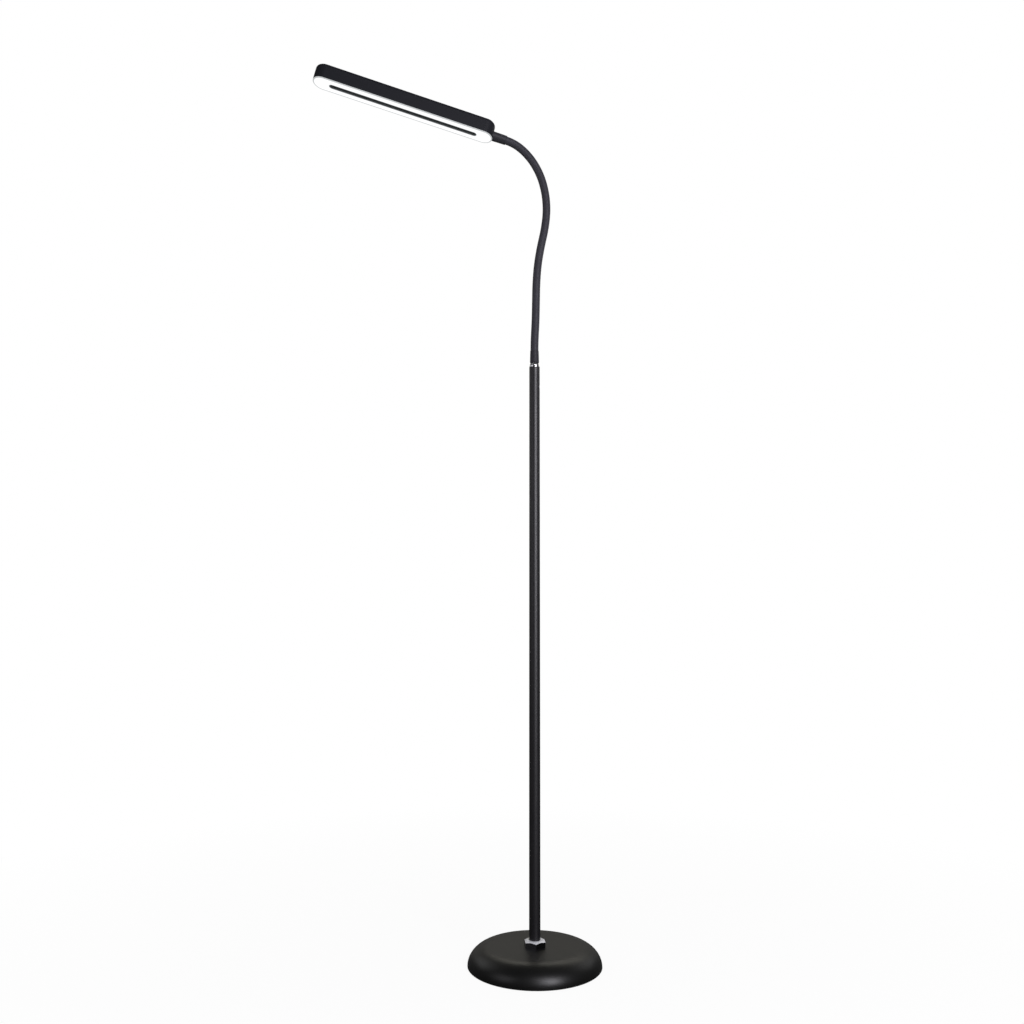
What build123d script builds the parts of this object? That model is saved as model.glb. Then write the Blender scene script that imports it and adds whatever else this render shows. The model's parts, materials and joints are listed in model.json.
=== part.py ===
"""Gooseneck reading floor lamp: weighted dome base, three-piece pole, bending neck, long LED head.

Millimetres, +Z up. The origin is the centre of the base on the floor. The head reaches out towards -X.
"""

from build123d import *
import os
from math import cos, radians, sin

os.makedirs("parts", exist_ok=True)

# ---------------------------------------------------------------- driving sizes
quarter = 90            # a quarter turn, degrees

# fits
slip_fit = 0.1          # radial gap of a plug, stud or screw in its hole
soft_gap = 0.3          # gap round a soft sleeve
ball_gap = 0.4          # gap in a ball seat of the neck core

# base
base_radius = 114.5     # widest point of the dome
base_height = 33.6      # floor to the edge of the flat top
shoulder_width = 37.5   # edge of the flat top to the widest point
top_dish = 0.8          # how far the middle of the top lies below its edge
seat_radius = 30.0      # flat middle that the pole stands on
widest_height = 2.4     # floor to the widest point
curl_width = 7.0        # how far the lower edge curls in
rim_height = 0.5        # floor to the lower edge of the cover
cover_wall = 1.2
pad_thickness = 2.0
pad_margin = 4.5        # edge of the opening under the cover to the pad
plate_thickness = 1.2
weight_margin = 4.5     # edge of the flat top to the weight
weight_thickness = 19.0
weight_recess_radius = 22.0
weight_recess_depth = 11.0
weight_edge_round = 3.0
boss_radius = 8.0
boss_circle = 58.0      # radius of the circle of bosses
boss_count = 3
boss_angle = -90        # first boss, clear of the lead that comes in from behind
base_screw_radius = 2.0
base_screw_head = 3.8
base_screw_head_height = 1.4
base_screw_length = 11.0
screw_clearance = 1.5   # hole in the pad, wider than the screw's head
cross_width = 0.8       # slots of a crosshead

# cord inlet at the back of the base
inlet_height = 11.0
inlet_bore = 2.3
inlet_neck = 4.4        # radius through the wall of the cover
inlet_flange = 6.2
inlet_outer = 4.0       # how far it stands out
inlet_inner = 3.0       # how far it reaches in

# fixing of the pole to the base
stud_radius = 6.0
stud_bore = 2.6
stud_reach = 24.0       # up into the pole
stud_tail = 1.2         # stud shown below its nut
stud_bevel = 0.6
washer_radius = 15.0
washer_thickness = 1.6
stud_nut_flats = 18.0
stud_nut_height = 5.5
hex_flats = 34.0
hex_height = 10.5
hex_chamfer = 2.6
hex_turn = 36.0         # turn of its corners about the pole, degrees

# pole
pole_radius = 9.7
pole_wall = 1.0
section_length = 339.1
insert_length = 30.0
coupler_length = 50.0
coupler_bevel = 1.0
bush_length = 60.0
spigot_short = 4.0      # spigot of the neck, shorter than its bush
cap_height = 7.4
cap_band = 1.4          # straight part of the cap
set_screw_radius = 2.5
set_screw_drop = 37.0   # below the top of the pole
set_screw_hole = 3.3
lead_radius = 1.9
lead_straight = 8.0     # lead inside the inlet, before it dips to the floor of the base
lead_landing = 6.0      # where it reaches the floor, outside the weight
hex_socket = 1.3        # flats of the key sockets of the small screws, from their middle
hex_socket_depth = 1.8

# neck
neck_azimuth = 12.0     # turn of the neck's plane from -X towards -Y, degrees
span_length = 37.3      # length of neck that one joint bends
# how far each span turns at rest, in degrees, forward being positive
span_turns = [-3.2, 2.0, 0.2, -3.0, -5.3, -3.3, 6.1, 10.8, 11.8, 15.3, 18.5, 27.3]
plug_radius = 6.0
sleeve_radius = 7.4
sleeve_wall = 1.8
lower_boot_length = 24.0
lower_boot_radius = 8.4
lower_boot_foot = 7.0
lower_boot_round = 3.6
upper_boot_length = 26.0
upper_boot_radius = 9.1
upper_boot_end = 8.4    # radius where it ends over the sleeve
boot_lip = 0.5          # how far the lower boot stands proud of the sleeve where it ends
boot_gap = 0.5          # upper boot to the underside of the head
core_bore = 2.2
rim_angle = 48.0        # how far down a seat reaches round its ball, degrees

# head
head_length = 344.6
head_width = 38.3
housing_height = 30.1
housing_wall = 1.8
housing_round = 7.4
underside_drop = 8.7    # neck axis to the underside of the diffuser
diffuser_plate = 1.2
diffuser_round = 0.7
diffuser_upstand = 4.0
diffuser_rib = 1.2
trim_fit = 0.15
slot_margin = 31.3      # end of the head to the end of the slot
slot_width = 10.5
trim_wall = 1.2
trim_recess = 0.4
stem_reach = 26.0       # stem into the head
stem_screw_radius = 2.0
socket_start = 7.0      # end of the head to the socket
socket_length = 22.0
socket_width = 22.0
socket_top = 10.0       # above the stem's line
socket_bottom = -5.8    # below it
socket_round = 1.5
socket_row = 8.2        # screws of the socket, off the stem's line
socket_screw_radius = 1.5
socket_screw_head = 2.6
socket_screw_head_height = 2.0
socket_screw_grip = 7.0
plate_margin = 34.0     # neck end of the head to the heat plate
plate_gap = 1.0         # heat plate to the wall round it
heat_plate_drop = 14.0  # inner roof of the housing to the top of the heat plate
heat_plate_thickness = 1.5
post_radius = 3.2
post_row = 9.0          # posts of the heat plate, off the middle
post_inset = 6.5        # neck end of the heat plate to its first posts
tip_inset = 16.1        # free end of the head to its last posts
screw_lead = 1.0        # socket to the clamping screw, past the socket's own screws
plate_screw_radius = 1.2
plate_screw_head = 2.4
plate_screw_head_height = 1.5
plate_screw_length = 9.0
led_board_width = 7.0
led_board_thickness = 1.6
led_margin = 6.0        # first posts to the end of the LED boards
led_size = 3.0
led_height = 0.8
led_count = 16
driver_length = 92.0
driver_width = 24.0
driver_thickness = 1.6
driver_start = 70.0     # neck end of the head to the driver board
driver_stand = 3.0
stand_radius = 2.2
stand_inset = 4.0       # edge of the board to its pegs
peg_radius = 1.0
coil_length = 20.0
coil_width = 15.0
coil_height = 7.0
coil_round = 1.0
coil_place = 38.6       # along the driver board, from its neck end
terminal_place = 11.0
terminal_length = 8.0
terminal_width = 14.0
capacitor_radius = 4.0
capacitor_height = 8.0
capacitor_place = 67.2
capacitor_pitch = 12.9
panel_length = 58.0
panel_width = 15.0
panel_depth = 0.8
panel_start = 22.0      # neck end of the head to the control panel
key_radius = 4.6
key_dish = 0.25
key_pitch = 18.0
key_count = 3

# ---------------------------------------------------------------- derived places
top_radius = base_radius - shoulder_width       # edge of the flat top
seat_height = base_height - top_dish            # where the pole stands
plate_bottom = pad_thickness
plate_top = plate_bottom + plate_thickness
lip_radius = base_radius - curl_width           # opening under the cover
pad_radius = lip_radius - pad_margin
weight_radius = top_radius - weight_margin
weight_top = seat_height - cover_wall
weight_bottom = weight_top - weight_thickness
recess_top = weight_bottom + weight_recess_depth
stud_nut_top = recess_top - washer_thickness
stud_bottom = stud_nut_top - stud_nut_height - stud_tail

pole_bore = pole_radius - pole_wall
plug_in_pole = pole_bore - slip_fit
pole_top = seat_height + 3 * section_length
cap_top = pole_top + cap_height
plug_bottom = pole_top - bush_length + spigot_short

sleeve_bore = sleeve_radius - sleeve_wall
core_radius = sleeve_bore - soft_gap
seat_ball = core_radius + ball_gap
rim_rise = seat_ball * cos(radians(rim_angle))  # flat rim of a seat above its pivot
joint_count = len(span_turns)
flex_end = lower_boot_length + joint_count * span_length
neck_length = flex_end + upper_boot_length

housing_bottom = diffuser_plate - underside_drop
housing_top = housing_bottom + housing_height
roof = housing_top - housing_wall
cavity_length = head_length - 2 * housing_wall
cavity_width = head_width - 2 * housing_wall
head_middle = head_length / 2
slot_length = head_length - 2 * slot_margin
heat_plate_top = roof - heat_plate_drop
heat_plate_bottom = heat_plate_top - heat_plate_thickness
trim_depth = heat_plate_bottom + underside_drop - trim_recess
socket_middle = socket_start + socket_length / 2
post_span = head_length - plate_margin - post_inset - tip_inset
led_board_length = post_span - 2 * led_margin
post_places = [
    (plate_margin + post_inset + along, across) for along in (0, post_span) for across in (-post_row, post_row)
]
stand_places = [
    (driver_start + along, across)
    for along in (stand_inset, driver_length - stand_inset)
    for across in (stand_inset - driver_width / 2, driver_width / 2 - stand_inset)
]
led_middle = plate_margin + post_inset + post_span / 2
led_row = (slot_width / 2 + cavity_width / 2 - diffuser_rib - trim_fit) / 2


# ---------------------------------------------------------------- the neck's line
forward = Vector(-cos(radians(neck_azimuth)), -sin(radians(neck_azimuth)), 0)
# a drawing plane that holds the neck: its x is forward, its y is up
neck_plane = Plane(
    origin=(0, 0, 0),
    x_dir=forward,
    z_dir=(-sin(radians(neck_azimuth)), cos(radians(neck_azimuth)), 0),
)
neck_runs = [(lower_boot_length, 0.0)]
neck_runs += [(span_length, float(turn)) for turn in span_turns]
neck_runs += [(upper_boot_length + stem_reach, 0.0)]


def step_along(forward_now, height_now, heading, length, turn):
    """The place and heading, in degrees from upright, after one run of the neck."""
    if abs(turn) < 1e-6:
        ahead = length * sin(radians(heading))
        rise = length * cos(radians(heading))
        return forward_now + ahead, height_now + rise, heading
    radius = length / radians(turn)
    ahead = radius * (cos(radians(heading)) - cos(radians(heading + turn)))
    rise = radius * (sin(radians(heading + turn)) - sin(radians(heading)))
    return forward_now + ahead, height_now + rise, heading + turn


def neck_state(run):
    """Forward, height and heading of the neck's line at a length along it from the pole's cap."""
    forward_now, height_now, heading = 0.0, cap_top, 0.0
    left = run
    for length, turn in neck_runs:
        part_run = min(left, length)
        share = turn * part_run / length
        forward_now, height_now, heading = step_along(forward_now, height_now, heading, part_run, share)
        left -= part_run
        if left <= 0:
            break
    return forward_now, height_now, heading


def neck_point(run):
    """The neck's line in space."""
    forward_now, height_now, _ = neck_state(run)
    return forward * forward_now + Vector(0, 0, height_now)


def neck_tangent(run):
    """The direction in which the neck's line runs."""
    heading = radians(neck_state(run)[2])
    return forward * sin(heading) + Vector(0, 0, cos(heading))


def neck_section(run):
    """A plane square across the neck."""
    return Plane(origin=neck_point(run), x_dir=neck_plane.z_dir, z_dir=neck_tangent(run))


def neck_route(start, end):
    """Draw the neck's line between two lengths, as tangent lines and arcs, in the neck's plane."""
    passed = 0.0
    for length, turn in neck_runs:
        low = max(start, passed)
        high = min(end, passed + length)
        if high - low > 1e-6:
            forward_now, height_now, heading = neck_state(low)
            share = turn * (high - low) / length
            ahead = (sin(radians(heading)), cos(radians(heading)))
            if abs(share) < 1e-6:
                rise = (ahead[0] * (high - low), ahead[1] * (high - low))
                Line((forward_now, height_now), (forward_now + rise[0], height_now + rise[1]))
            else:
                radius = (high - low) / radians(abs(share))
                JernArc((forward_now, height_now), ahead, radius, -share)
        passed += length


def pivot_run(joint):
    """Length along the neck of a joint's centre, joints counted from 1 at the pole."""
    return lower_boot_length + (joint - 0.5) * span_length


def finish(builder, name):
    """Label a finished piece and write it."""
    builder.part.label = name
    export_step(builder.part, f"parts/{name}.step")


# ---------------------------------------------------------------- base
cover_rise = base_height - widest_height
cover_run = base_radius - top_radius
curl_rise = widest_height - rim_height
cover_hole = stud_radius + slip_fit

with BuildPart() as base_cover:
    with BuildSketch(Plane.XZ):
        with BuildLine():
            Line((cover_hole, seat_height), (seat_radius, seat_height))
            TangentArc((seat_radius, seat_height), (top_radius, base_height), tangent=(1, 0))
            EllipticalCenterArc((top_radius, widest_height), cover_run, cover_rise, arc_size=quarter)
            EllipticalCenterArc(
                (lip_radius, widest_height), curl_width, curl_rise, start_angle=-quarter, arc_size=quarter
            )
            Line((lip_radius, rim_height), (lip_radius, rim_height + cover_wall))
            EllipticalCenterArc(
                (lip_radius, widest_height),
                curl_width - cover_wall,
                curl_rise - cover_wall,
                start_angle=-quarter,
                arc_size=quarter,
            )
            EllipticalCenterArc(
                (top_radius, widest_height), cover_run - cover_wall, cover_rise - cover_wall, arc_size=quarter
            )
            TangentArc(
                (seat_radius, seat_height - cover_wall), (top_radius, base_height - cover_wall), tangent=(1, 0)
            )
            Line((cover_hole, seat_height - cover_wall), (seat_radius, seat_height - cover_wall))
            Line((cover_hole, seat_height - cover_wall), (cover_hole, seat_height))
        make_face()
    revolve(axis=Axis.Z)
    # hole at the back for the cord inlet
    with BuildSketch(Plane.XZ.offset(-base_radius)):
        with Locations((0, inlet_height)):
            Circle(inlet_neck)
    extrude(amount=cover_run, mode=Mode.SUBTRACT)
finish(base_cover, "base_cover")

with BuildPart() as cord_inlet:
    # a grommet: its groove is the wall of the cover
    with BuildSketch(Plane.XZ.offset(-(base_radius + inlet_outer - inlet_neck))):
        with Locations((0, inlet_height)):
            Circle(inlet_flange)
    extrude(amount=inlet_outer + inlet_inner + cover_wall)
    fillet(cord_inlet.edges().sort_by(Axis.Y)[-1], inlet_flange - inlet_neck - slip_fit)
    add(base_cover.part, mode=Mode.SUBTRACT)
    with BuildSketch(Plane.XZ.offset(-(base_radius + inlet_outer))):
        with Locations((0, inlet_height)):
            Circle(inlet_bore)
    extrude(amount=base_radius - weight_radius, mode=Mode.SUBTRACT)
finish(cord_inlet, "cord_inlet")

with BuildPart() as base_weight:
    with BuildSketch(Plane.XY.offset(weight_bottom)):
        Circle(weight_radius)
    extrude(amount=weight_thickness)
    fillet(base_weight.edges(), weight_edge_round)
    with BuildSketch(Plane.XY.offset(plate_top)):
        with PolarLocations(boss_circle, boss_count, start_angle=boss_angle):
            Circle(boss_radius)
    extrude(amount=weight_bottom - plate_top)
    with BuildSketch(Plane.XY.offset(weight_bottom)):
        Circle(weight_recess_radius)
    extrude(amount=weight_recess_depth, mode=Mode.SUBTRACT)
    with BuildSketch(Plane.XY.offset(recess_top)):
        Circle(cover_hole)
    extrude(amount=weight_top - recess_top, mode=Mode.SUBTRACT)
    with BuildSketch(Plane.XY.offset(plate_top)):
        with PolarLocations(boss_circle, boss_count, start_angle=boss_angle):
            Circle(base_screw_radius + slip_fit)
    extrude(amount=base_screw_length, mode=Mode.SUBTRACT)
finish(base_weight, "base_weight")

with BuildPart() as base_plate:
    with BuildSketch(Plane.XY.offset(plate_bottom)):
        Circle(lip_radius - soft_gap)
        with PolarLocations(boss_circle, boss_count, start_angle=boss_angle):
            Circle(base_screw_radius + slip_fit, mode=Mode.SUBTRACT)
    extrude(amount=plate_thickness)
finish(base_plate, "base_plate")

with BuildPart() as base_pad:
    with BuildSketch():
        Circle(pad_radius)
        with PolarLocations(boss_circle, boss_count, start_angle=boss_angle):
            Circle(base_screw_head + screw_clearance, mode=Mode.SUBTRACT)
    extrude(amount=pad_thickness)
finish(base_pad, "base_pad")

with BuildPart() as base_screws:
    with BuildSketch(Plane.XY.offset(plate_bottom - base_screw_head_height)):
        with PolarLocations(boss_circle, boss_count, start_angle=boss_angle):
            Circle(base_screw_head)
    extrude(amount=base_screw_head_height)
    with BuildSketch(Plane.XY.offset(plate_bottom)):
        with PolarLocations(boss_circle, boss_count, start_angle=boss_angle):
            Circle(base_screw_radius)
    extrude(amount=base_screw_length)
    with BuildSketch(Plane.XY.offset(plate_bottom - base_screw_head_height)):
        with PolarLocations(boss_circle, boss_count, start_angle=boss_angle):
            Rectangle(base_screw_head, cross_width)
            Rectangle(cross_width, base_screw_head)
    extrude(amount=base_screw_head_height / 2, mode=Mode.SUBTRACT)
finish(base_screws, "base_screws")

with BuildPart() as pole_stud:
    with BuildSketch(Plane.XY.offset(stud_bottom)):
        Circle(stud_radius)
        Circle(stud_bore, mode=Mode.SUBTRACT)
    extrude(amount=seat_height + stud_reach - stud_bottom)
    chamfer(pole_stud.edges().filter_by(GeomType.CIRCLE).group_by(SortBy.RADIUS)[-1], stud_bevel)
finish(pole_stud, "pole_stud")

with BuildPart() as stud_washer:
    with BuildSketch(Plane.XY.offset(stud_nut_top)):
        Circle(washer_radius)
        Circle(cover_hole, mode=Mode.SUBTRACT)
    extrude(amount=washer_thickness)
finish(stud_washer, "stud_washer")

with BuildPart() as stud_nut:
    with BuildSketch(Plane.XY.offset(stud_nut_top - stud_nut_height)):
        RegularPolygon(stud_nut_flats / 2, 6, major_radius=False)
        Circle(cover_hole, mode=Mode.SUBTRACT)
    extrude(amount=stud_nut_height)
finish(stud_nut, "stud_nut")

with BuildPart() as hex_nut:
    with BuildSketch(Plane.XY.offset(seat_height)):
        RegularPolygon(hex_flats / 2, 6, major_radius=False, rotation=hex_turn)
    extrude(amount=hex_height)
    # the cone that bevels its upper corners, and the bore round the pole
    hex_corner = hex_flats / 2 / cos(radians(30))
    with BuildSketch(Plane.XZ):
        with BuildLine():
            Polyline(
                (pole_radius + slip_fit, seat_height),
                (hex_corner, seat_height),
                (hex_corner, seat_height + hex_height - hex_chamfer),
                (hex_flats / 2 - hex_chamfer, seat_height + hex_height),
                (pole_radius + slip_fit, seat_height + hex_height),
                close=True,
            )
        make_face()
    revolve(axis=Axis.Z, mode=Mode.INTERSECT)
finish(hex_nut, "hex_nut")

# ---------------------------------------------------------------- pole
for number, name in enumerate(["pole_lower", "pole_middle", "pole_upper"]):
    tube_bottom = seat_height + number * section_length
    with BuildPart() as pole_tube:
        with BuildSketch(Plane.XY.offset(tube_bottom)):
            Circle(pole_radius)
            Circle(pole_bore, mode=Mode.SUBTRACT)
        extrude(amount=section_length)
        if name == "pole_upper":
            # countersunk hole for the set screw
            with BuildSketch(Plane.YZ.offset(pole_bore - pole_wall)):
                with Locations((0, pole_top - set_screw_drop)):
                    Circle(set_screw_hole)
            extrude(amount=3 * pole_wall, mode=Mode.SUBTRACT)
    finish(pole_tube, name)

with BuildPart() as foot_insert:
    with BuildSketch(Plane.XY.offset(seat_height)):
        Circle(plug_in_pole)
        Circle(cover_hole, mode=Mode.SUBTRACT)
    extrude(amount=insert_length)
finish(foot_insert, "foot_insert")

for number, name in enumerate(["coupler_lower", "coupler_upper"]):
    joint_height = seat_height + (number + 1) * section_length
    with BuildPart() as coupler:
        with BuildSketch(Plane.XY.offset(joint_height - coupler_length / 2)):
            Circle(plug_in_pole)
            Circle(stud_bore, mode=Mode.SUBTRACT)
        extrude(amount=coupler_length)
        chamfer(coupler.edges().filter_by(GeomType.CIRCLE).group_by(SortBy.RADIUS)[-1], coupler_bevel)
    finish(coupler, name)

with BuildPart() as top_bush:
    with BuildSketch(Plane.XY.offset(pole_top - bush_length)):
        Circle(plug_in_pole)
        Circle(plug_radius + slip_fit, mode=Mode.SUBTRACT)
    extrude(amount=bush_length)
    with BuildSketch(Plane.YZ.offset(plug_radius)):
        with Locations((0, pole_top - set_screw_drop)):
            Circle(set_screw_radius + slip_fit)
    extrude(amount=pole_radius, mode=Mode.SUBTRACT)
finish(top_bush, "top_bush")

with BuildPart() as pole_cap:
    # a turned ring whose shoulder rounds in from the pole to the neck's foot
    with BuildSketch(Plane.XZ):
        with BuildLine():
            Line((plug_radius + slip_fit, pole_top), (pole_radius, pole_top))
            Line((pole_radius, pole_top), (pole_radius, pole_top + cap_band))
            EllipticalCenterArc(
                (lower_boot_foot, pole_top + cap_band),
                pole_radius - lower_boot_foot,
                cap_height - cap_band,
                arc_size=quarter,
            )
            Line((lower_boot_foot, cap_top), (plug_radius + slip_fit, cap_top))
            Line((plug_radius + slip_fit, cap_top), (plug_radius + slip_fit, pole_top))
        make_face()
    revolve(axis=Axis.Z)
finish(pole_cap, "pole_cap")

with BuildPart() as set_screw:
    with BuildSketch(Plane.YZ.offset(plug_radius)):
        with Locations((0, pole_top - set_screw_drop)):
            Circle(set_screw_radius)
    extrude(amount=pole_radius - plug_radius - slip_fit)
    with BuildSketch(Plane.YZ.offset(pole_radius - slip_fit)):
        with Locations((0, pole_top - set_screw_drop)):
            RegularPolygon(hex_socket, 6, major_radius=False)
    extrude(amount=-hex_socket_depth, mode=Mode.SUBTRACT)
finish(set_screw, "set_screw")

lead_floor = plate_top + soft_gap + lead_radius
lead_start = base_radius - inlet_neck - inlet_inner - cover_wall
with BuildPart() as supply_lead:
    with BuildLine(Plane.YZ):
        FilletPolyline(
            (lead_start, inlet_height),
            (lead_start - lead_straight, inlet_height),
            (weight_radius + lead_landing, lead_floor),
            (0, lead_floor),
            (0, plug_bottom),
            radius=stud_bottom - lead_floor - soft_gap,
        )
    with BuildSketch(Plane.XZ.offset(-lead_start)):
        with Locations((0, inlet_height)):
            Circle(lead_radius)
    sweep()
finish(supply_lead, "supply_lead")

# ---------------------------------------------------------------- neck
with BuildPart() as neck_plug:
    # spigot held in the pole, then the foot of the core, ending in the first ball
    with BuildSketch(Plane.XY.offset(plug_bottom)):
        Circle(plug_radius)
    extrude(amount=cap_top - plug_bottom)
    with BuildLine(neck_plane):
        neck_route(0, pivot_run(1))
    with BuildSketch(neck_section(0)):
        Circle(core_radius)
    sweep()
    with Locations(neck_section(pivot_run(1))):
        Sphere(core_radius, arc_size1=0, align=(Align.CENTER, Align.CENTER, Align.MIN))
    with BuildSketch(Plane.XY.offset(plug_bottom)):
        Circle(core_bore)
    extrude(amount=cap_top - plug_bottom, mode=Mode.SUBTRACT)
    with BuildLine(neck_plane):
        neck_route(0, pivot_run(1) + seat_ball)
    with BuildSketch(neck_section(0)):
        Circle(core_bore)
    sweep(mode=Mode.SUBTRACT)
finish(neck_plug, "neck_plug")

with BuildPart() as lower_boot:
    # moulded collar: rounded foot, then a long taper that meets the sleeve
    with BuildSketch(Plane.XZ):
        with BuildLine():
            Line((core_radius + slip_fit, cap_top), (lower_boot_foot, cap_top))
            TangentArc(
                (lower_boot_radius, cap_top + lower_boot_round), (lower_boot_foot, cap_top), tangent=(0, -1)
            )
            Line(
                (lower_boot_radius, cap_top + lower_boot_round),
                (sleeve_radius + boot_lip, cap_top + lower_boot_length),
            )
            Line(
                (sleeve_radius + boot_lip, cap_top + lower_boot_length),
                (core_radius + slip_fit, cap_top + lower_boot_length),
            )
            Line((core_radius + slip_fit, cap_top + lower_boot_length), (core_radius + slip_fit, cap_top))
        make_face()
    revolve(axis=Axis.Z)
finish(lower_boot, "lower_boot")

for joint in range(1, joint_count + 1):
    sleeve_start = pivot_run(joint) - span_length / 2
    with BuildPart() as neck_sleeve:
        with BuildLine(neck_plane):
            neck_route(sleeve_start, sleeve_start + span_length)
        with BuildSketch(neck_section(sleeve_start)):
            Circle(sleeve_radius)
            Circle(sleeve_bore, mode=Mode.SUBTRACT)
        sweep()
    finish(neck_sleeve, f"neck_sleeve_{joint}")

for joint in range(1, joint_count):
    with BuildPart() as neck_core:
        # a length of the core: a seat over the ball below, a ball under the seat above
        with BuildLine(neck_plane):
            neck_route(pivot_run(joint) + rim_rise, pivot_run(joint + 1))
        with BuildSketch(neck_section(pivot_run(joint) + rim_rise)):
            Circle(core_radius)
            Circle(core_bore, mode=Mode.SUBTRACT)
        sweep()
        with Locations(neck_section(pivot_run(joint + 1))):
            Sphere(core_radius, arc_size1=0, align=(Align.CENTER, Align.CENTER, Align.MIN))
            Cylinder(
                core_bore, seat_ball, align=(Align.CENTER, Align.CENTER, Align.MIN), mode=Mode.SUBTRACT
            )
        with Locations(neck_point(pivot_run(joint))):
            Sphere(seat_ball, mode=Mode.SUBTRACT)
    finish(neck_core, f"neck_core_{joint}")

# ---------------------------------------------------------------- head
# the head's own frame: x along it towards its free end, z out of its top, origin where the neck ends
head_heading = radians(neck_state(neck_length)[2])
head_plane = Plane(
    origin=neck_point(neck_length),
    x_dir=neck_tangent(neck_length),
    z_dir=forward * -cos(head_heading) + Vector(0, 0, sin(head_heading)),
)
head_line = Axis(head_plane.origin, head_plane.x_dir)
head_up = Axis(head_plane.origin, head_plane.z_dir)
# across the head at the stem's clamping screw, looking along the screw
stem_screw_plane = Plane(
    origin=neck_point(neck_length + socket_middle - socket_screw_head - stem_screw_radius - screw_lead),
    x_dir=head_plane.x_dir,
    z_dir=head_plane.y_dir,
)

with BuildPart() as neck_stem:
    # seat over the last ball, then straight through the boot into the head
    with BuildLine(neck_plane):
        neck_route(pivot_run(joint_count) + rim_rise, neck_length + stem_reach)
    with BuildSketch(neck_section(pivot_run(joint_count) + rim_rise)):
        Circle(core_radius)
        Circle(core_bore, mode=Mode.SUBTRACT)
    sweep()
    with Locations(neck_point(pivot_run(joint_count))):
        Sphere(seat_ball, mode=Mode.SUBTRACT)
finish(neck_stem, "neck_stem")

with BuildPart() as upper_boot:
    # collar that swells towards the head and is cut to the head's round end
    with BuildSketch(head_plane):
        with BuildLine():
            Polyline(
                (head_width / 2, core_radius + slip_fit),
                (-upper_boot_length, core_radius + slip_fit),
                (-upper_boot_length, upper_boot_end),
                (head_width / 2, upper_boot_radius),
                close=True,
            )
        make_face()
    revolve(axis=head_line)
    with BuildSketch(head_plane.offset(-underside_drop - boot_gap)):
        with Locations((head_middle, 0)):
            SlotOverall(head_length, head_width)
    extrude(amount=housing_height, mode=Mode.SUBTRACT)
finish(upper_boot, "upper_boot")

with BuildPart() as head_housing:
    with BuildSketch(head_plane.offset(housing_bottom)):
        with Locations((head_middle, 0)):
            SlotOverall(head_length, head_width)
    extrude(amount=housing_height)
    fillet(head_housing.faces().sort_by(head_up)[-1].edges(), housing_round)
    offset(amount=-housing_wall, openings=head_housing.faces().sort_by(head_up)[0])
    # posts under the roof for the socket and for the heat plate
    with BuildSketch(head_plane.offset(socket_top)):
        with Locations((socket_middle, socket_row), (socket_middle, -socket_row)):
            Circle(post_radius)
    extrude(amount=roof - socket_top + slip_fit)
    with BuildSketch(head_plane.offset(heat_plate_top)):
        with Locations(*post_places):
            Circle(post_radius)
    extrude(amount=heat_plate_drop + slip_fit)
    with BuildSketch(head_plane.offset(socket_top)):
        with Locations((socket_middle, socket_row), (socket_middle, -socket_row)):
            Circle(socket_screw_radius + slip_fit)
    extrude(amount=socket_screw_grip, mode=Mode.SUBTRACT)
    with BuildSketch(head_plane.offset(heat_plate_top)):
        with Locations(*post_places):
            Circle(plate_screw_radius + slip_fit)
    extrude(amount=plate_screw_length, mode=Mode.SUBTRACT)
    # hole for the stem in the round end
    with BuildSketch(neck_section(neck_length - stem_reach)):
        Circle(core_radius + slip_fit)
    extrude(amount=2 * stem_reach, mode=Mode.SUBTRACT)
    # shallow bed for the control panel
    with BuildSketch(head_plane.offset(housing_top - panel_depth)):
        with Locations((panel_start + panel_length / 2, 0)):
            SlotOverall(panel_length, panel_width)
    extrude(amount=panel_depth, mode=Mode.SUBTRACT)
finish(head_housing, "head_housing")

with BuildPart() as control_panel:
    with BuildSketch(head_plane.offset(housing_top - panel_depth)):
        with Locations((panel_start + panel_length / 2, 0)):
            SlotOverall(panel_length - 2 * slip_fit, panel_width - 2 * slip_fit)
    extrude(amount=panel_depth)
    with BuildSketch(head_plane.offset(housing_top - key_dish)):
        with Locations(Location((panel_start + panel_length / 2, 0))):
            with GridLocations(key_pitch, key_pitch, key_count, 1):
                Circle(key_radius)
    extrude(amount=key_dish, mode=Mode.SUBTRACT)
finish(control_panel, "control_panel")

with BuildPart() as head_socket:
    # block that clamps the stem, hung from two posts
    with BuildSketch(head_plane.offset(socket_bottom)):
        with Locations((socket_middle, 0)):
            RectangleRounded(socket_length, socket_width, socket_round)
    extrude(amount=socket_top - socket_bottom)
    with BuildSketch(head_plane.offset(socket_bottom)):
        with Locations((socket_middle, socket_row), (socket_middle, -socket_row)):
            Circle(socket_screw_radius + slip_fit)
    extrude(amount=socket_top - socket_bottom, mode=Mode.SUBTRACT)
    with BuildSketch(head_plane.offset(socket_bottom)):
        with Locations((socket_middle, socket_row), (socket_middle, -socket_row)):
            Circle(socket_screw_head + slip_fit)
    extrude(amount=socket_screw_head_height, mode=Mode.SUBTRACT)
    with BuildSketch(neck_section(neck_length)):
        Circle(core_radius + slip_fit)
    extrude(amount=2 * stem_reach, mode=Mode.SUBTRACT)
    with BuildSketch(stem_screw_plane):
        Circle(stem_screw_radius + slip_fit)
    extrude(amount=socket_width, mode=Mode.SUBTRACT)
finish(head_socket, "head_socket")

with BuildPart() as stem_screw:
    with BuildSketch(stem_screw_plane.offset(core_radius)):
        Circle(stem_screw_radius)
    extrude(amount=socket_width / 2 - core_radius - slip_fit)
    with BuildSketch(stem_screw_plane.offset(socket_width / 2 - slip_fit)):
        RegularPolygon(hex_socket, 6, major_radius=False)
    extrude(amount=-hex_socket_depth, mode=Mode.SUBTRACT)
finish(stem_screw, "stem_screw")

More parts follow.
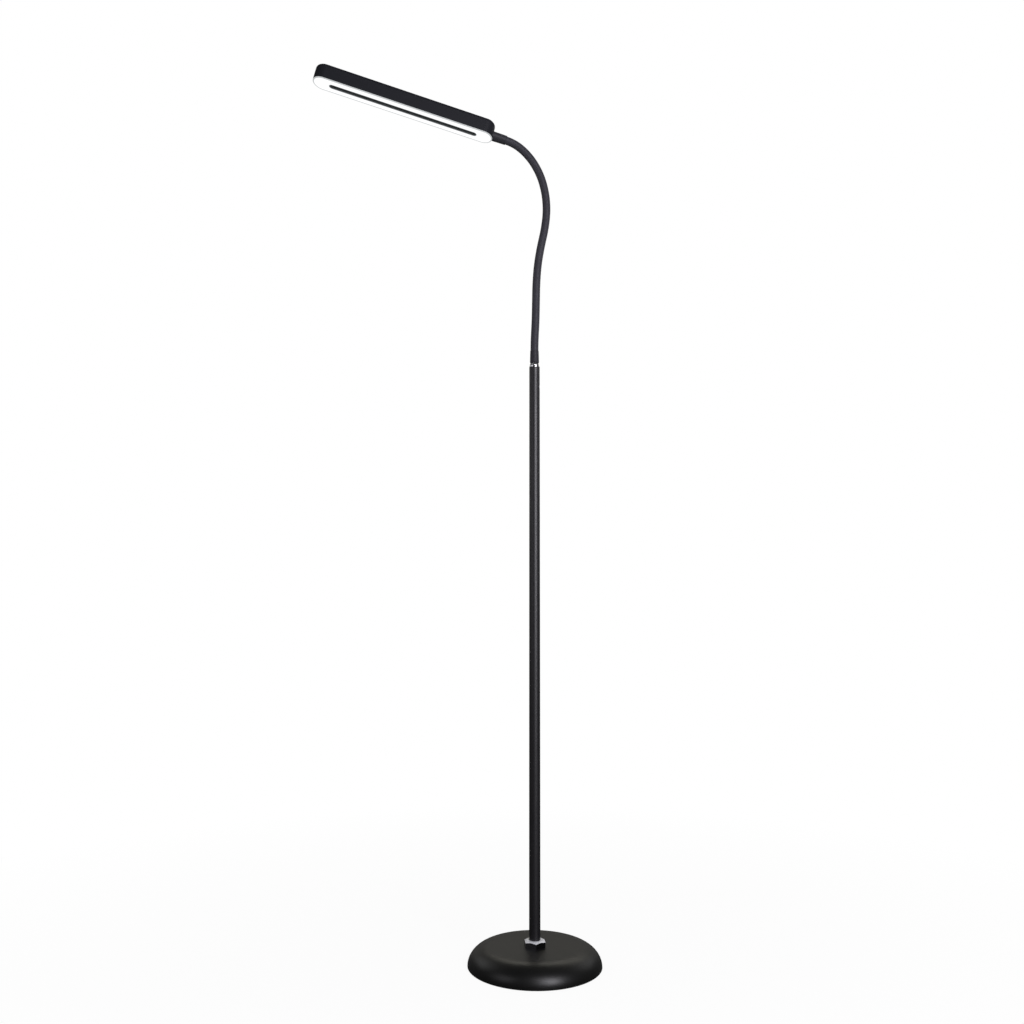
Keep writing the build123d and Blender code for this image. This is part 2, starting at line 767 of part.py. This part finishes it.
with BuildPart() as socket_screws:
    with BuildSketch(head_plane.offset(socket_bottom)):
        with Locations((socket_middle, socket_row), (socket_middle, -socket_row)):
            Circle(socket_screw_head)
    extrude(amount=socket_screw_head_height)
    with BuildSketch(head_plane.offset(socket_bottom)):
        with Locations((socket_middle, socket_row), (socket_middle, -socket_row)):
            Circle(socket_screw_radius)
    extrude(amount=socket_top - socket_bottom + socket_screw_grip)
finish(socket_screws, "socket_screws")

with BuildPart() as heat_plate:
    with BuildSketch(head_plane.offset(heat_plate_bottom)):
        with Locations((head_middle, 0)):
            SlotOverall(cavity_length - 2 * plate_gap, cavity_width - 2 * plate_gap)
        with Locations((plate_margin, 0)):
            Rectangle(head_length, head_width, align=(Align.MAX, Align.CENTER), mode=Mode.SUBTRACT)
        with Locations(*post_places):
            Circle(plate_screw_radius + slip_fit, mode=Mode.SUBTRACT)
    extrude(amount=heat_plate_thickness)
    # stands and pegs for the driver board
    with BuildSketch(head_plane.offset(heat_plate_top)):
        with Locations(*stand_places):
            Circle(stand_radius)
    extrude(amount=driver_stand)
    with BuildSketch(head_plane.offset(heat_plate_top)):
        with Locations(*stand_places):
            Circle(peg_radius)
    extrude(amount=driver_stand + driver_thickness + peg_radius)
finish(heat_plate, "heat_plate")

with BuildPart() as plate_screws:
    with BuildSketch(head_plane.offset(heat_plate_bottom - plate_screw_head_height)):
        with Locations(*post_places):
            Circle(plate_screw_head)
    extrude(amount=plate_screw_head_height)
    with BuildSketch(head_plane.offset(heat_plate_bottom)):
        with Locations(*post_places):
            Circle(plate_screw_radius)
    extrude(amount=plate_screw_length)
finish(plate_screws, "plate_screws")

with BuildPart() as driver_board:
    with BuildSketch(head_plane.offset(heat_plate_top + driver_stand)):
        with Locations((driver_start + driver_length / 2, 0)):
            Rectangle(driver_length, driver_width)
        with Locations(*stand_places):
            Circle(peg_radius + slip_fit, mode=Mode.SUBTRACT)
    extrude(amount=driver_thickness)
    # coil, capacitors and terminal block standing on the board
    with BuildSketch(head_plane.offset(heat_plate_top + driver_stand + driver_thickness)):
        with Locations((driver_start + coil_place, 0)):
            RectangleRounded(coil_length, coil_width, coil_round)
        with Locations((driver_start + terminal_place, 0)):
            Rectangle(terminal_length, terminal_width)
    extrude(amount=coil_height)
    with BuildSketch(head_plane.offset(heat_plate_top + driver_stand + driver_thickness)):
        with Locations(Location((driver_start + capacitor_place, 0))):
            with GridLocations(capacitor_pitch, capacitor_pitch, 2, 1):
                Circle(capacitor_radius)
    extrude(amount=capacitor_height)
finish(driver_board, "driver_board")

for name, row in (("led_board_front", led_row), ("led_board_back", -led_row)):
    with BuildPart() as led_board:
        with BuildSketch(head_plane.offset(heat_plate_bottom - led_board_thickness)):
            with Locations((led_middle, row)):
                Rectangle(led_board_length, led_board_width)
        extrude(amount=led_board_thickness)
        with BuildSketch(head_plane.offset(heat_plate_bottom - led_board_thickness - led_height)):
            with Locations(Location((led_middle, row))):
                with GridLocations(led_board_length / led_count, led_board_width, led_count, 1):
                    Rectangle(led_size, led_size)
        extrude(amount=led_height)
    finish(led_board, name)

with BuildPart() as diffuser:
    with BuildSketch(head_plane.offset(-underside_drop)):
        with Locations((head_middle, 0)):
            SlotOverall(head_length - 2 * trim_fit, head_width - 2 * trim_fit)
    extrude(amount=diffuser_plate)
    fillet(diffuser.faces().sort_by(head_up)[0].edges(), diffuser_round)
    # low wall that enters the housing, cut away round the stem's socket
    with BuildSketch(head_plane.offset(housing_bottom)):
        with Locations((head_middle, 0)):
            SlotOverall(cavity_length - 2 * trim_fit, cavity_width - 2 * trim_fit)
            SlotOverall(
                cavity_length - 2 * trim_fit - 2 * diffuser_rib,
                cavity_width - 2 * trim_fit - 2 * diffuser_rib,
                mode=Mode.SUBTRACT,
            )
        with Locations((0, 0)):
            Rectangle(socket_middle, socket_width, align=(Align.MIN, Align.CENTER), mode=Mode.SUBTRACT)
    extrude(amount=diffuser_upstand)
    with BuildSketch(head_plane.offset(-underside_drop)):
        with Locations((head_middle, 0)):
            SlotOverall(slot_length, slot_width)
    extrude(amount=diffuser_plate, mode=Mode.SUBTRACT)
finish(diffuser, "diffuser")

with BuildPart() as centre_trim:
    # a dark trough set in the slot of the diffuser, closed above
    with BuildSketch(head_plane.offset(trim_recess - underside_drop)):
        with Locations((head_middle, 0)):
            SlotOverall(slot_length - 2 * trim_fit, slot_width - 2 * trim_fit)
    extrude(amount=trim_depth)
    with BuildSketch(head_plane.offset(trim_recess - underside_drop)):
        with Locations((head_middle, 0)):
            SlotOverall(slot_length - 2 * trim_fit - 2 * trim_wall, slot_width - 2 * trim_fit - 2 * trim_wall)
    extrude(amount=trim_depth - trim_wall, mode=Mode.SUBTRACT)
finish(centre_trim, "centre_trim")
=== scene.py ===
"""Looks of the gooseneck reading lamp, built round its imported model.

Metres, +Z up. The base stands on the floor at the origin and the head reaches out towards -X.
"""

import json
from math import cos, pi, radians, sin

import bpy
from mathutils import Matrix, Vector


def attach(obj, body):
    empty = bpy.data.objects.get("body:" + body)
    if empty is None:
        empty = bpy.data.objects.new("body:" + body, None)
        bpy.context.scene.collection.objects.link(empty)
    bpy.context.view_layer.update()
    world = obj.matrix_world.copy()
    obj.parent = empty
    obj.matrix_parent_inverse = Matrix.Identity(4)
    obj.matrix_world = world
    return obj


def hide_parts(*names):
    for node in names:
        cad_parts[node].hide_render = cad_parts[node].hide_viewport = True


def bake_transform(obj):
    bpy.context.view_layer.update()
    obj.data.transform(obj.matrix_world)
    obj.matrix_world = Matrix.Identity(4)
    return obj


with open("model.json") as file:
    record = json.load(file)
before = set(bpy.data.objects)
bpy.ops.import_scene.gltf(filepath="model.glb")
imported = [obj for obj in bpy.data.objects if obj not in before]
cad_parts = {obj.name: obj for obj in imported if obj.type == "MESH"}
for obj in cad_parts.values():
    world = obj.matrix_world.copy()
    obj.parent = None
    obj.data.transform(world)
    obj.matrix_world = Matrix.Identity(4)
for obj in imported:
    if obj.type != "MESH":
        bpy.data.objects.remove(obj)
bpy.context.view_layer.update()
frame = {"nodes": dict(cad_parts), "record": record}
nodes = frame["nodes"]

mm = 0.001

# ---------------------------------------------------------------- sizes
# the camera that took the photograph
picture_side = 1024
focal_pixels = 912.0
sensor_width = 36.0
camera_place = (-40.3 * mm, -1640.6 * mm, 555.2 * mm)
camera_pitch = radians(7.784)
camera_yaw = radians(-0.023)
camera_roll = radians(0.165)
nearest_seen = 0.05
farthest_seen = 60

# the floor and the room
floor_side = 30
floor_roughness = 0.9
floor_whiteness = 0.94    # share of the floor's look that is plain white under the lamp
floor_clear_from = 0.25   # metres from the pole where that share starts to rise
floor_clear_to = 1.5      # and where the floor is all white
floor_dimness = 0.95      # share of the floor's look in reflections that is a dark table
dark_table_level = 0.05   # how bright that dark table is
room_level = 0.10         # how bright the room is as the lamp meets it; the eye sees plain white
warm = (1.0, 0.97, 0.86)
cool = (0.95, 0.935, 1.0)

# the neck's line at rest
pole_cap_top = 1057.5 * mm
neck_azimuth = radians(12.0)
lower_boot_length = 24.0 * mm
span_length = 37.3 * mm
span_turns = [
    radians(turn) for turn in (-3.2, 2.0, 0.2, -3.0, -5.3, -3.3, 6.1, 10.8, 11.8, 15.3, 18.5, 27.3)
]
upper_boot_length = 26.0 * mm

# the neck's skin, and the metal ends that it is held by
neck_radius = 7.4 * mm
core_bore = 2.2 * mm
core_radius = 5.3 * mm
stem_reach = 26.0 * mm    # how far the stem goes on past the upper boot
spigot_radius = 5.2 * mm
plug_length = 56.0 * mm   # how far the spigot goes down into the pole
ring_points = 48
span_steps = 20
straight_steps = 2
weld_distance = 0.001 * mm
smooth_angle = radians(40)

# the head's outline seen from below
head_length = 344.6 * mm
head_width = 38.3 * mm
slot_margin = 31.3 * mm
slot_width = 10.5 * mm
rim_shade = 3.4 * mm      # where the lit sheet starts to grey towards its rim
rim_edge = 1.6 * mm       # where it is at its greyest
slot_shade = 1.6 * mm     # width of the greyer edge round its slot

# how the finishes vary over a surface
paint_drift_scale = 18.0
paint_gloss_swing = 0.05
paint_grain_depth = 0.1 * mm
metal_gloss_swing = 0.04
rubber_drift_scale = 30.0
rubber_gloss_swing = 0.06
rubber_grain_depth = 0.15 * mm
rubber_sheen = 0.04

forward = Vector((-cos(neck_azimuth), -sin(neck_azimuth), 0))
sideways = Vector((sin(neck_azimuth), -cos(neck_azimuth), 0))
upward = Vector((0, 0, 1))


# ---------------------------------------------------------------- the neck's line
def onward(heading):
    """Direction of the neck's line where it leans forward by a heading from upright."""
    return forward * sin(heading) + upward * cos(heading)


def outward(heading):
    """Square to the neck's line, on its forward side."""
    return forward * cos(heading) - upward * sin(heading)


def neck_line():
    """Start, heading and turn of each span, then the place and heading of the neck's end."""
    place = upward * (pole_cap_top + lower_boot_length)
    heading = 0.0
    spans = []
    for turn in span_turns:
        spans.append((place.copy(), heading, turn))
        radius = span_length / turn
        place = place + forward * radius * (cos(heading) - cos(heading + turn))
        place = place + upward * radius * (sin(heading + turn) - sin(heading))
        heading += turn
    return spans, place, heading


spans, neck_end, end_heading = neck_line()
head_direction = onward(end_heading)
head_start = neck_end + head_direction * upper_boot_length


# ---------------------------------------------------------------- shading
class Value:
    """A number, colour or shader from a node. Arithmetic on a number adds Math nodes."""

    def __init__(self, shading, socket):
        self.shading = shading
        self.socket = socket

    def math(self, operation, first, second):
        return self.shading.node("ShaderNodeMath", {"operation": operation}, {0: first, 1: second})

    def __add__(self, other):
        return self.math("ADD", self, other)

    __radd__ = __add__

    def __mul__(self, other):
        return self.math("MULTIPLY", self, other)

    __rmul__ = __mul__

    def __sub__(self, other):
        return self.math("SUBTRACT", self, other)

    def __rsub__(self, other):
        return self.math("SUBTRACT", other, self)

    def __pow__(self, other):
        return self.math("POWER", self, other)

    def limited(self, low, high):
        """The number, kept between two limits."""
        return self.math("MINIMUM", self.math("MAXIMUM", self, low), high)

    def over(self, limit):
        """1 where the number is above a limit, and 0 elsewhere."""
        return self.math("GREATER_THAN", self, limit)


class Shading:
    """A node tree that is built with a few short calls."""

    def __init__(self, tree):
        self.tree = tree

    def node(self, kind, settings=None, inputs=None, output=0):
        """Add a node: its settings first, then the values or links of its sockets."""
        made = self.tree.nodes.new(kind)
        for key, value in (settings or {}).items():
            setattr(made, key, value)
        for key, value in (inputs or {}).items():
            self.feed(made.inputs[key], value)
        return Value(self, made.outputs[output])

    def feed(self, socket, value):
        """Link a socket to a value that varies, or set it to a plain one."""
        if isinstance(value, Value):
            self.tree.links.new(value.socket, socket)
        else:
            socket.default_value = value


class Finish(Shading):
    """A material, with the patterns that its shader is fed."""

    def __init__(self, name):
        self.material = bpy.data.materials.new(name)
        self.material.use_nodes = True
        super().__init__(self.material.node_tree)
        self.shader = self.tree.nodes["Principled BSDF"]

    def set(self, **inputs):
        """Set or link the shader's sockets, their names written with underscores."""
        for key, value in inputs.items():
            self.feed(self.shader.inputs[key.replace("_", " ")], value)
        return self

    def place(self):
        return self.node("ShaderNodeTexCoord", output="Object")

    def reach(self, origin, direction):
        """How far a point lies from an origin in one direction."""
        gap = self.node(
            "ShaderNodeVectorMath", {"operation": "SUBTRACT"}, {0: self.place(), 1: tuple(origin)}
        )
        return self.node(
            "ShaderNodeVectorMath",
            {"operation": "DOT_PRODUCT"},
            {0: gap, 1: tuple(direction)},
            output="Value",
        )

    def ramp(self, value, low, high):
        """0 below low, 1 above high, and an even rise between them."""
        return self.node(
            "ShaderNodeMapRange",
            {},
            {"Value": value, "From Min": low, "From Max": high, "To Min": 0, "To Max": 1},
        )

    def noise(self, scale, detail=2.0, stretch=(1, 1, 1)):
        """Noise on the object's own coordinates, its grain 1 / scale metres across."""
        where = self.node(
            "ShaderNodeMapping", {"vector_type": "POINT"}, {"Vector": self.place(), "Scale": stretch}
        )
        return self.node("ShaderNodeTexNoise", {}, {"Vector": where, "Scale": scale, "Detail": detail})

    def mix(self, factor, first, second):
        return self.node(
            "ShaderNodeMix",
            {"data_type": "RGBA"},
            {"Factor": factor, "A": rgba(first), "B": rgba(second)},
            output="Result",
        )

    def bump(self, height, strength, distance):
        return self.node(
            "ShaderNodeBump", {}, {"Height": height, "Strength": strength, "Distance": distance}
        )


def rgba(colour):
    return colour if isinstance(colour, Value) else (*colour, 1.0)


def swung(middle, swing, noise):
    """A number that noise moves by up to a swing, to either side of its middle."""
    return middle - swing + 2 * swing * noise


# ---------------------------------------------------------------- finishes
def painted(name, dark, light, roughness, specular, grain=1800.0, relief=0.03):
    """Satin paint or moulded plastic: a fine even grain, and a slow drift in tone and gloss."""
    finish = Finish(name)
    fine = finish.noise(grain)
    slow = finish.noise(paint_drift_scale)
    return finish.set(
        Base_Color=finish.mix(slow, dark, light),
        Roughness=swung(roughness, paint_gloss_swing, slow),
        Specular_IOR_Level=specular,
        Normal=finish.bump(fine, relief, paint_grain_depth),
    ).material


def metal(name, colour, worn, roughness, stretch=(1, 1, 1), grain=500.0):
    """Bare or plated metal, with the lines its tool left."""
    finish = Finish(name)
    lines = finish.noise(grain, detail=4.0, stretch=stretch)
    return finish.set(
        Base_Color=finish.mix(lines, colour, worn),
        Metallic=1.0,
        Roughness=swung(roughness, metal_gloss_swing, lines),
    ).material


def rubber(name, dark, light, roughness, specular, grain=900.0, relief=0.1):
    """Dull rubber or foam: a grain that breaks up its gloss, and a slow drift in tone."""
    finish = Finish(name)
    fine = finish.noise(grain, detail=3.0)
    slow = finish.noise(rubber_drift_scale)
    return finish.set(
        Base_Color=finish.mix(slow, dark, light),
        Roughness=swung(roughness, rubber_gloss_swing, fine),
        Specular_IOR_Level=specular,
        Sheen_Weight=rubber_sheen,
        Normal=finish.bump(fine, relief, rubber_grain_depth),
    ).material


def nut_with_painted_light():
    """Chrome nut: painted shade on its flats, and a painted highlight on faces that look upwards."""
    # the flats' colours are painted shade, the chrome darkened, with tool lines in their tone
    shaded_chrome = (0.10, 0.10, 0.105)
    shaded_worn_chrome = (0.13, 0.13, 0.135)
    # a painted highlight: bright colour, less metal and more roughness where faces look upwards
    painted_highlight_colour = (0.78, 0.79, 0.82)
    highlight_from = 0.3
    highlight_full = 0.5
    flat_roughness = 0.2
    highlight_roughness = 0.45
    highlight_metallic = 0.3
    line_scale = 700.0
    finish = Finish("nut_with_painted_light")
    normal = finish.node("ShaderNodeNewGeometry", output="Normal")
    rise = finish.node("ShaderNodeSeparateXYZ", {}, {0: normal}, output="Z")
    # where the faces look upwards, the mask of the painted highlight
    painted_highlight = finish.ramp(rise, highlight_from, highlight_full)
    lines = finish.noise(line_scale, detail=3.0, stretch=(1, 1, 6))
    # dark: the flats' painted shade, with the tool lines
    dark = finish.mix(lines, shaded_chrome, shaded_worn_chrome)
    return finish.set(
        Base_Color=finish.mix(painted_highlight, dark, painted_highlight_colour),
        Metallic=1.0 - (1.0 - highlight_metallic) * painted_highlight,
        Roughness=flat_roughness + (highlight_roughness - flat_roughness) * painted_highlight,
    ).material


def from_middle(along, across, inset, width):
    """Distance from the middle line of a round-ended strip that is set in from the head's ends."""
    first = inset + width / 2
    last = head_length - first
    gap = along - along.limited(first, last)
    return (gap * gap + across * across) ** 0.5


def lit_diffuser():
    """Opal sheet with the light on behind it, a little greyer at its rim and round its slot."""
    opal = (0.16, 0.16, 0.16)
    cool_white = (0.97, 0.985, 1.0)
    white = (1.0, 1.0, 1.0)
    rim_grey = (0.40, 0.42, 0.42)
    slot_grey = (0.12, 0.13, 0.13)
    opal_roughness = 0.45
    opal_gloss_swing = 0.05
    cloud_scale = 60.0
    finish = Finish("lit_opal")
    cloud = finish.noise(cloud_scale)
    along = finish.reach(head_start, head_direction)
    across = finish.reach(head_start, sideways)
    rim = from_middle(along, across, 0.0, head_width)
    rim = finish.ramp(rim, head_width / 2 - rim_shade, head_width / 2 - rim_edge)
    slot = from_middle(along, across, slot_margin, slot_width)
    slot = 1.0 - finish.ramp(slot, slot_width / 2, slot_width / 2 + slot_shade)
    glow = finish.mix(cloud, cool_white, white)
    glow = finish.mix(rim, glow, rim_grey)
    glow = finish.mix(slot, glow, slot_grey)
    return finish.set(
        Base_Color=rgba(opal),
        Roughness=swung(opal_roughness, opal_gloss_swing, cloud),
        Emission_Color=glow,
        Emission_Strength=1.0,
    ).material


def circuit_board():
    """Green board with paler copper lands."""
    lacquer = (0.012, 0.09, 0.03)
    lands = (0.05, 0.17, 0.07)
    land_scale = 260.0
    land_edge = 0.42
    lacquer_roughness = 0.4
    land_roughness = 0.6
    finish = Finish("circuit_board")
    cells = finish.node(
        "ShaderNodeTexVoronoi",
        {"feature": "F1"},
        {"Vector": finish.place(), "Scale": land_scale},
        output="Distance",
    )
    land = cells.over(land_edge)
    return finish.set(
        Base_Color=finish.mix(land, lacquer, lands),
        Roughness=lacquer_roughness + (land_roughness - lacquer_roughness) * land,
    ).material


# one finish for each material slot of the record
finishes = {
    "base_paint": painted(
        "base_satin_black",
        dark=(0.0022, 0.0022, 0.0021), light=(0.0030, 0.0030, 0.0028), roughness=0.38, specular=0.36,
    ),
    "pole_paint": painted(
        "pole_satin_black",
        dark=(0.0035, 0.0029, 0.0043), light=(0.0043, 0.0037, 0.0051), roughness=0.46, specular=0.6,
    ),
    "housing": painted(
        "head_satin_black",
        dark=(0.0100, 0.0104, 0.0134), light=(0.0114, 0.0118, 0.0148), roughness=0.5, specular=0.14,
    ),
    "boot": painted(
        "boot_satin_black",
        dark=(0.022, 0.0215, 0.026), light=(0.026, 0.0255, 0.030), roughness=0.5, specular=0.16,
    ),
    "trim": painted(
        "slot_dark_grey",
        dark=(0.095, 0.104, 0.104), light=(0.11, 0.12, 0.12), roughness=0.5, specular=0.3,
    ),
    "panel": painted(
        "panel_gloss_black",
        dark=(0.006, 0.006, 0.007), light=(0.008, 0.008, 0.009), roughness=0.15, specular=0.5,
        relief=0.0,
    ),
    "neck_sleeve": rubber(
        "neck_dark_rubber",
        dark=(0.0285, 0.0275, 0.0345), light=(0.0345, 0.0335, 0.0405), roughness=0.55, specular=0.18,
    ),
    "grommet": rubber(
        "grommet_rubber",
        dark=(0.015, 0.015, 0.015), light=(0.02, 0.02, 0.02), roughness=0.6, specular=0.3,
    ),
    "lead": rubber(
        "lead_jacket",
        dark=(0.02, 0.02, 0.02), light=(0.025, 0.025, 0.025), roughness=0.5, specular=0.3,
    ),
    "pad": rubber(
        "foam_pad",
        dark=(0.018, 0.018, 0.018), light=(0.028, 0.028, 0.028), roughness=0.85, specular=0.2,
        grain=500.0, relief=0.5,
    ),
    "chrome": metal("bright_chrome", (0.70, 0.70, 0.71), worn=(0.78, 0.78, 0.79), roughness=0.18),
    "weight": painted(
        "cast_weight",
        dark=(0.05, 0.05, 0.05), light=(0.08, 0.078, 0.075), roughness=0.8, specular=0.4,
        grain=300.0, relief=0.4,
    ),
    "bare_steel": metal("zinc_steel", (0.55, 0.55, 0.57), worn=(0.66, 0.66, 0.67), roughness=0.32),
    "insert": metal(
        "turned_aluminium",
        (0.62, 0.62, 0.64), worn=(0.72, 0.72, 0.73), roughness=0.35, stretch=(1, 1, 30),
    ),
    "neck_core": metal("wound_steel", (0.36, 0.36, 0.37), worn=(0.46, 0.46, 0.47), roughness=0.4),
    "plate_metal": metal(
        "sheet_aluminium",
        (0.68, 0.68, 0.70), worn=(0.76, 0.76, 0.77), roughness=0.4, stretch=(0.1, 1, 1),
    ),
    "board": circuit_board(),
    "led_board": painted(
        "led_board_white",
        dark=(0.75, 0.75, 0.73), light=(0.82, 0.82, 0.80), roughness=0.5, specular=0.4,
    ),
    "diffuser": lit_diffuser(),
}

# and two pieces that look unlike the rest of their slot, each with a painted highlight
own_finishes = {
    # the nut's finish paints shade on its flats and a highlight on its upward faces
    "hex_nut": nut_with_painted_light(),
    # the steel set screw painted pale: a painted glint, standing in for the light it catches
    "set_screw": painted(
        "set_screw_painted_glint",
        dark=(0.72, 0.72, 0.72), light=(0.80, 0.80, 0.80), roughness=0.4, specular=0.5,
    ),
}


def give(piece, slot_name):
    """Give a new piece one of the record's finishes."""
    piece.data.materials.clear()
    piece.data.materials.append(finishes[slot_name])


slot_of = {row["node"]: row["material_slot"] for row in frame["record"]["subparts"]}
for name, node in nodes.items():
    node.data.materials.clear()
    node.data.materials.append(own_finishes.get(name, finishes[slot_of[name]]))


# ---------------------------------------------------------------- the neck
def deselect():
    bpy.ops.object.select_all(action="DESELECT")


def ring(name, place, direction, radius):
    """A circle of points square to a direction, in edit mode with all of it selected."""
    deselect()
    turn = direction.to_track_quat("Z", "Y").to_euler()
    bpy.ops.mesh.primitive_circle_add(
        vertices=ring_points, radius=radius, fill_type="NOTHING", location=place, rotation=turn
    )
    piece = bpy.context.object
    piece.name = name
    bpy.ops.object.transform_apply(location=True, rotation=True, scale=True)
    bpy.ops.object.mode_set(mode="EDIT")
    bpy.ops.mesh.select_all(action="SELECT")
    return piece


def bent_skin(name, place, heading, turn):
    """The skin of one span of the neck, open at both ends."""
    piece = ring(name, place, onward(heading), neck_radius)
    centre = place + outward(heading) * (span_length / turn)
    bpy.ops.mesh.spin(steps=span_steps, angle=turn, center=centre, axis=-sideways)
    return piece


def straight_skin(name, place, heading, length, radius):
    """A straight round skin, open at both ends."""
    piece = ring(name, place, onward(heading), radius)
    step = onward(heading) * (length / straight_steps)
    for _ in range(straight_steps):
        bpy.ops.mesh.extrude_edges_move(TRANSFORM_OT_translate={"value": step})
    return piece


def close_wall(piece, thickness):
    """Leave edit mode with outward normals, and give the skin a wall on its inner side."""
    bpy.ops.mesh.select_all(action="SELECT")
    bpy.ops.mesh.remove_doubles(threshold=weld_distance)
    bpy.ops.mesh.normals_make_consistent(inside=False)
    bpy.ops.object.mode_set(mode="OBJECT")
    wall = piece.modifiers.new("wall", "SOLIDIFY")
    wall.thickness = thickness
    wall.offset = -1
    wall.use_even_offset = True
    bpy.ops.object.modifier_apply(modifier=wall.name)
    bpy.ops.object.shade_smooth_by_angle(angle=smooth_angle)


def build_neck():
    """The smooth sleeve, its wall reaching in to the bore: one curved length for each joint."""
    bodies = ["stand"] + [f"link_{number}" for number in range(1, len(spans))] + ["head"]
    ends = [place for place, _, _ in spans[1:]] + [neck_end]
    for number, (place, heading, turn) in enumerate(spans, start=1):
        piece = bent_skin(f"neck_length_{number}", place, heading, turn)
        close_wall(piece, neck_radius - core_bore)
        give(piece, "neck_sleeve")
        covered = [name for name in (f"neck_sleeve_{number}", f"neck_core_{number}") if name in nodes]
        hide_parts(*covered)
        bodies[number - 1]
        ends[number - 1]
        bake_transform(piece)


def build_spigot():
    """The neck's lower end, held in the pole."""
    foot = upward * (pole_cap_top - plug_length)
    spigot = straight_skin("neck_spigot", foot, 0.0, plug_length + lower_boot_length, spigot_radius)
    close_wall(spigot, spigot_radius - core_bore)
    give(spigot, "neck_core")
    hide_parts("neck_plug")
    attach(spigot, "stand")


def build_stem():
    """The neck's upper end, held in the head."""
    length = upper_boot_length + stem_reach
    stem = straight_skin("neck_stem_end", neck_end, end_heading, length, core_radius)
    close_wall(stem, core_radius - core_bore)
    give(stem, "neck_core")
    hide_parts("neck_stem")
    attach(stem, "head")


build_neck()
build_spigot()
build_stem()


# ---------------------------------------------------------------- stage, light and camera
def pale_floor():
    """Matt white that takes a shadow, nearly plain white to the eye and dark in reflections."""
    off_white = (0.93, 0.93, 0.93)
    near_white = (0.95, 0.95, 0.95)
    grain_scale = 3.0
    finish = Finish("pale_floor")
    grain = finish.noise(grain_scale)
    finish.set(
        Base_Color=finish.mix(grain, off_white, near_white),
        Roughness=floor_roughness,
        Specular_IOR_Level=0.0,
    )
    lit = Value(finish, finish.shader.outputs["BSDF"])
    white = finish.node("ShaderNodeEmission", {}, {"Color": (1, 1, 1, 1), "Strength": 1.0})
    dark = finish.node("ShaderNodeEmission", {}, {"Color": (1, 1, 1, 1), "Strength": dark_table_level})
    seen = finish.node("ShaderNodeLightPath", output="Is Camera Ray")
    mirrored = finish.node("ShaderNodeLightPath", output="Is Glossy Ray")
    far = finish.node(
        "ShaderNodeVectorMath", {"operation": "LENGTH"}, {0: finish.place()}, output="Value"
    )
    far = finish.ramp(far, floor_clear_from, floor_clear_to)
    whiteness = floor_whiteness + (1.0 - floor_whiteness) * far
    look = finish.node("ShaderNodeMixShader", {}, {0: whiteness * seen, 1: lit, 2: white})
    look = finish.node("ShaderNodeMixShader", {}, {0: floor_dimness * mirrored, 1: look, 2: dark})
    finish.feed(finish.tree.nodes["Material Output"].inputs["Surface"], look)
    return finish.material


def build_floor():
    deselect()
    bpy.ops.mesh.primitive_plane_add(size=floor_side, location=(0, 0, 0))
    floor = bpy.context.object
    floor.name = "floor"
    floor.data.materials.append(pale_floor())


def build_room():
    """White to the eye, and nearly dark to the lamp."""
    world = bpy.data.worlds.new("studio")
    bpy.context.scene.world = world
    world.use_nodes = True
    room = Shading(world.node_tree)
    seen = room.node("ShaderNodeLightPath", output="Is Camera Ray")
    walls = room.tree.nodes["Background"]
    room.feed(walls.inputs["Color"], (1, 1, 1, 1))
    room.feed(walls.inputs["Strength"], room_level + (1.0 - room_level) * seen)


def soft_box(name, place, aim, width, height, watts, colour=(1.0, 1.0, 1.0)):
    """A lamp with an oblong face, aimed at one height of the pole."""
    lamp = bpy.data.lights.new(name, "AREA")
    lamp.color = colour
    lamp.shape = "RECTANGLE"
    lamp.size = width
    lamp.size_y = height
    lamp.energy = watts
    holder = bpy.data.objects.new(name, lamp)
    bpy.context.scene.collection.objects.link(holder)
    holder.location = place
    way = upward * aim - Vector(place)
    holder.rotation_euler = way.to_track_quat("-Z", "Y").to_euler()


def build_light():
    """Cool boxes to both sides in front, a warm wall and strip behind, and plain boxes at the back."""
    soft_box("back_box", (0, 2.4, 1.3), aim=1.0, width=3.4, height=2.6, watts=3.7, colour=warm)
    soft_box("right_box", (1.0, -1.96, 1.4), aim=0.8, width=0.85, height=1.5, watts=54, colour=cool)
    soft_box("left_box", (-1.85, -1.2, 1.3), aim=0.7, width=1.2, height=1.2, watts=6, colour=cool)
    soft_box("rear_right_box", (2.0, 1.4, 1.7), aim=0.9, width=1.6, height=1.4, watts=6)
    soft_box("rear_left_box", (-2.0, 1.4, 1.7), aim=0.9, width=1.6, height=1.4, watts=6)
    soft_box("top_box", (0.4, 2.3, 2.2), aim=0.5, width=2.4, height=0.7, watts=11, colour=warm)


def build_camera():
    lens = bpy.data.cameras.new("camera")
    lens.sensor_fit = "HORIZONTAL"
    lens.sensor_width = sensor_width
    lens.lens = focal_pixels / picture_side * sensor_width
    lens.clip_start = nearest_seen
    lens.clip_end = farthest_seen
    camera = bpy.data.objects.new("camera", lens)
    bpy.context.scene.collection.objects.link(camera)
    turn = (
        Matrix.Rotation(-camera_yaw, 3, "Z")
        @ Matrix.Rotation(pi / 2 + camera_pitch, 3, "X")
        @ Matrix.Rotation(camera_roll, 3, "Z")
    )
    camera.matrix_world = Matrix.Translation(camera_place) @ turn.to_4x4()
    bpy.context.scene.camera = camera


build_floor()
build_room()
build_light()
build_camera()
bpy.context.scene.view_settings.view_transform = "Standard"
